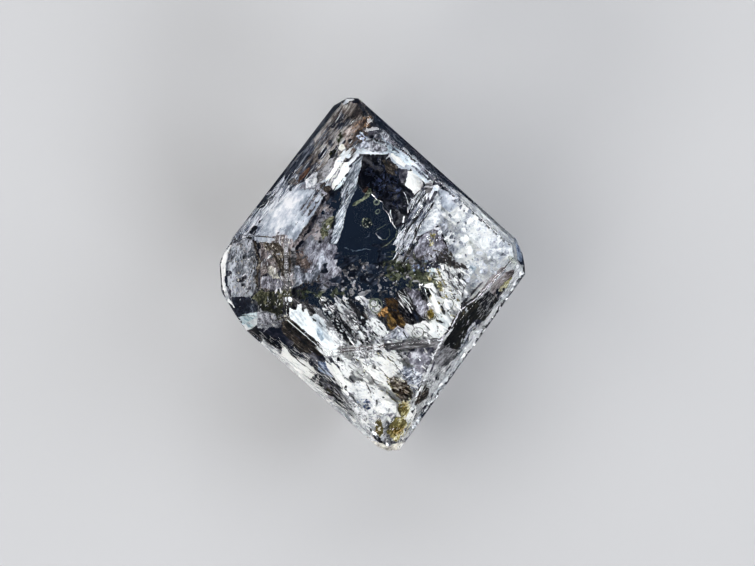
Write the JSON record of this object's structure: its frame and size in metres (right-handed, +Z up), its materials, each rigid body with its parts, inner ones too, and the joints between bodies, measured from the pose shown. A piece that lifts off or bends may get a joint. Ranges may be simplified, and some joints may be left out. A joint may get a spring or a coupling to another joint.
{
  "type": "petroleum quartz crystal",
  "caption": "Loose clear quartz crystal, doubly terminated, with sealed petroleum and veil inclusions, lying on a prism face.",
  "frame": {"origin": "on the resting surface, below the middle of the crystal's bounding box", "axes": "+Y along the crystal's long c-axis towards its upper tip, +Z up through the large front prism face, the crystal lying on the parallel prism face behind it"},
  "size_m": [0.0112, 0.0136, 0.0074],
  "materials": {
    "rock_crystal": "clear, glossy, finely stepped faces",
    "petroleum": "yellow-brown oil sealed in cavities",
    "bitumen": "black solid hydrocarbon specks and flakes",
    "iron_stain": "orange-brown stain in a fracture",
    "veil": "white healed-fracture veils of tiny bubbles"
  },
  "bodies": {
    "root": {"quartz_crystal": "rock_crystal"}
  },
  "joints": []
}
